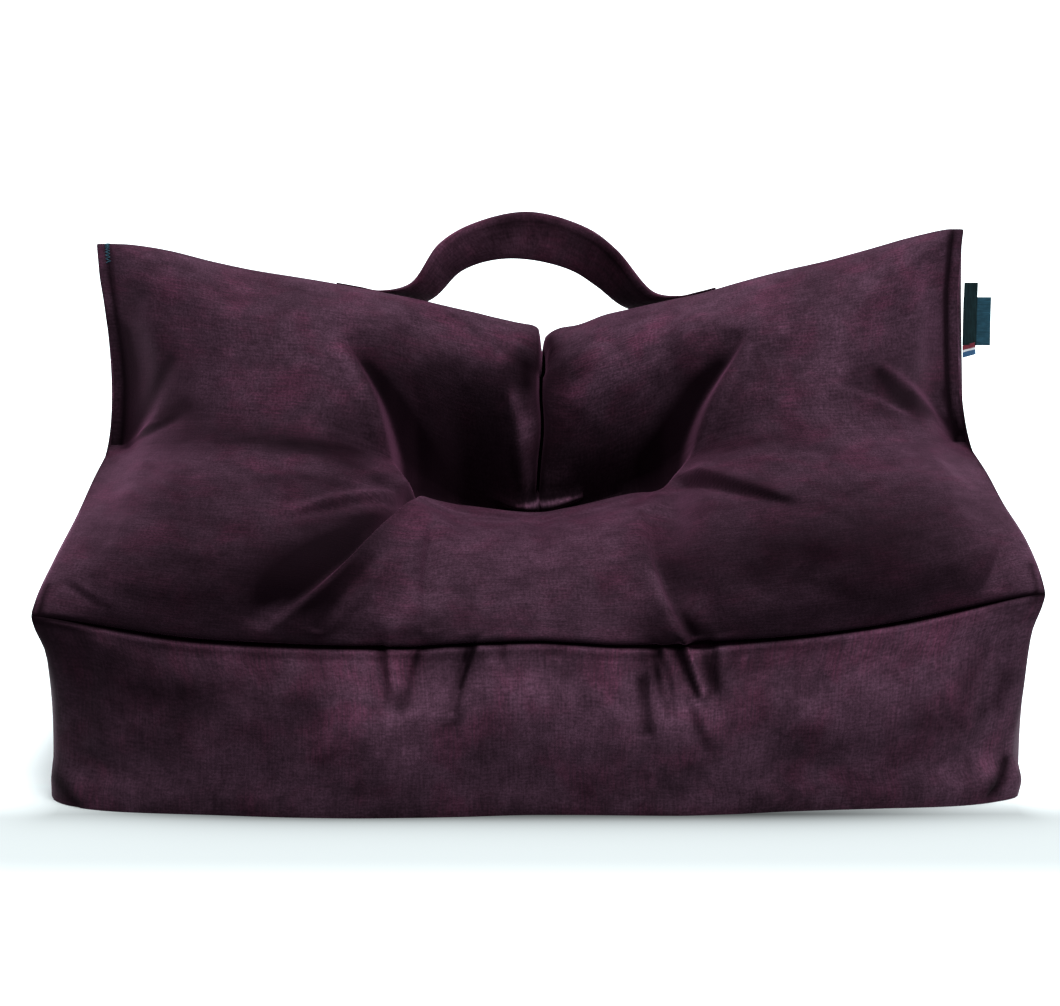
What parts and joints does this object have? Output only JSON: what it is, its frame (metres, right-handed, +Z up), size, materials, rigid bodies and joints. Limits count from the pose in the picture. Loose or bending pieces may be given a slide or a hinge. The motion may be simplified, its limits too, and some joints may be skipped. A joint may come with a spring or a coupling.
{
  "type": "lumbar cushion",
  "caption": "Wedge shaped filled lumbar cushion with a low front wall, a tufted back, sewn upper fins, a carry strap behind the top edge and blank edge tabs.",
  "frame": {"origin": "middle of the base, on the surface that the cushion stands on", "axes": "+Z up, -Y towards the front wall, +X to the right seen from the front"},
  "size_m": [0.6362, 0.369, 0.341],
  "materials": {
    "velvet": "dark plum velvet with a fine streaky weave",
    "strap_velvet": "the same velvet, folded into a strap",
    "black_tape": "black woven tape, blank",
    "satin_tape": "dark satin tape, blank",
    "ribbon": "red, white and blue woven ribbon"
  },
  "bodies": {
    "root": {"cushion_body": "velvet", "carry_strap": "strap_velvet", "edge_tab": "black_tape", "care_tab": "satin_tape", "ribbon_tab": "ribbon"}
  },
  "joints": []
}
